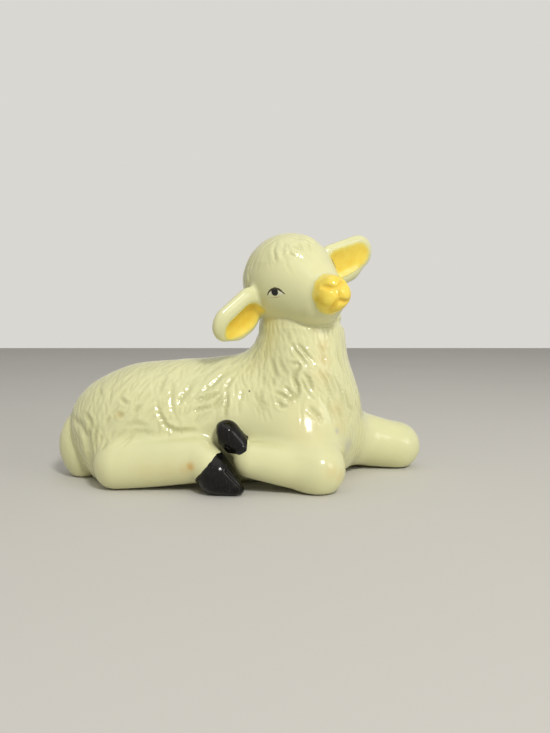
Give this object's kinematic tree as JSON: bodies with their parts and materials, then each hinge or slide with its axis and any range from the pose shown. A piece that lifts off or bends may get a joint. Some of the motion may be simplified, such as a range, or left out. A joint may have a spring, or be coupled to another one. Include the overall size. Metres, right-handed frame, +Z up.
{
  "type": "sheep figurine",
  "caption": "Glazed ceramic lamb ornament lying down with its head turned to its right, folded legs, painted hooves, muzzle and inner ears, and a flat sole to stand on.",
  "frame": {"origin": "centre of the bounding box on the surface that the lamb lies on", "axes": "+X the way the body points, from the tail to the chest; +Y the lamb's own left; +Z up"},
  "size_m": [0.1179, 0.0566, 0.077],
  "materials": {
    "ivory_glaze": "glossy clear glaze over ivory earthenware",
    "yellow_glaze": "glossy brushed yellow glaze",
    "black_glaze": "glossy brushed black glaze"
  },
  "bodies": {
    "root": {"body_shell": "ivory_glaze", "head_shell": "ivory_glaze", "muzzle": "yellow_glaze", "right_ear": "ivory_glaze", "left_ear": "ivory_glaze", "tail": "ivory_glaze", "right_hind_leg": "ivory_glaze", "left_hind_leg": "ivory_glaze", "right_foreleg": "ivory_glaze", "left_foreleg": "ivory_glaze", "right_hind_hoof": "black_glaze", "left_hind_hoof": "black_glaze", "right_fore_hoof": "black_glaze", "left_fore_hoof": "black_glaze"}
  },
  "joints": []
}
